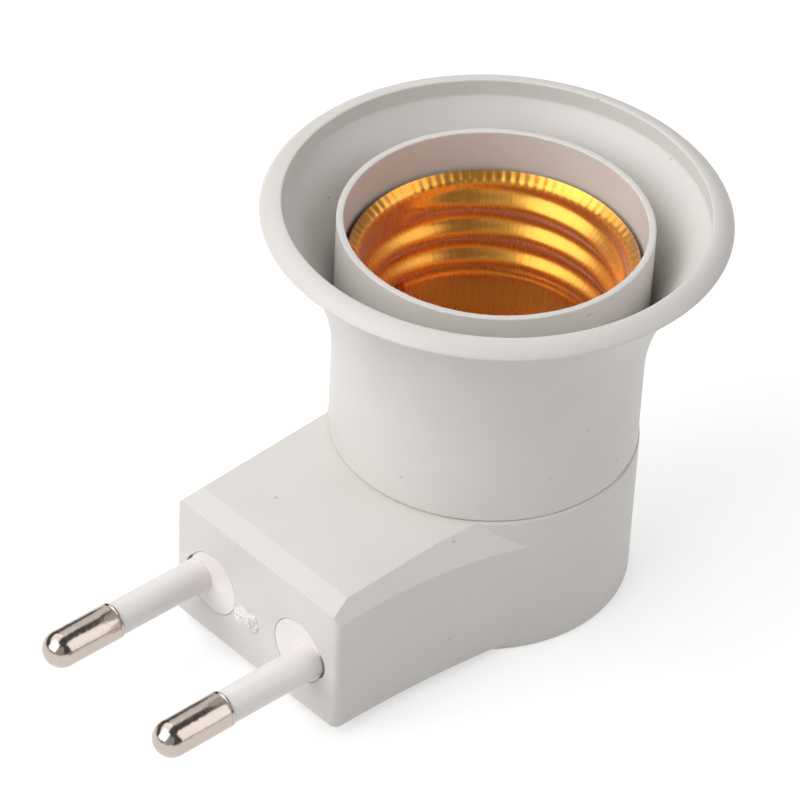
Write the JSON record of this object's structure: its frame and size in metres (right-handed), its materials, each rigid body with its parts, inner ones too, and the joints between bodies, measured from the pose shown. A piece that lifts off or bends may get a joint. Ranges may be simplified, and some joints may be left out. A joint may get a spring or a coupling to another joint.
{
  "type": "plug-in lamp holder",
  "caption": "Screw socket for a bulb in a flared white skirt, on a round cup with a plug block and two round sleeved mains pins.",
  "frame": {"origin": "centre of the round cup's flat foot, on the socket's axis", "axes": "+Z along the socket's axis out of its mouth, -X along the mains pins towards their tips"},
  "size_m": [0.0744, 0.0474, 0.045],
  "materials": {
    "white_moulding": "satin white moulding",
    "sleeve_moulding": "smooth white moulding",
    "base_moulding": "matt heat-resistant moulding",
    "gold_shell": "bright gold-coloured rolled sheet",
    "brass": "plain brass",
    "bronze": "spring bronze strip",
    "silver": "silver contact",
    "nickel": "polished nickel plate",
    "brown_lead": "brown insulated lead",
    "blue_lead": "blue insulated lead",
    "solder": "dull tin solder"
  },
  "bodies": {
    "holder": {"lower_housing": "white_moulding", "upper_skirt": "white_moulding", "insulating_base": "base_moulding", "screw_shell": "gold_shell", "shell_rivet_front": "brass", "shell_rivet_back": "brass", "contact_rivet": "brass", "shell_lug": "brass", "centre_lug": "brass", "centre_contact": "bronze", "live_pin": "nickel", "neutral_pin": "nickel", "live_sleeve": "sleeve_moulding", "neutral_sleeve": "sleeve_moulding", "live_ferrule": "nickel", "neutral_ferrule": "nickel", "live_lead": "brown_lead", "neutral_lead": "blue_lead", "live_solder": "solder", "neutral_solder": "solder"},
    "button": {"contact_button": "silver"}
  },
  "joints": [
    {"name": "contact_spring", "type": "slide", "parent": "holder", "child": "button", "axis": [0, 0, 1], "range_m": [-0.0018, 0], "stiffness_N_per_m": 900, "deforming": ["centre_contact"]}
  ]
}
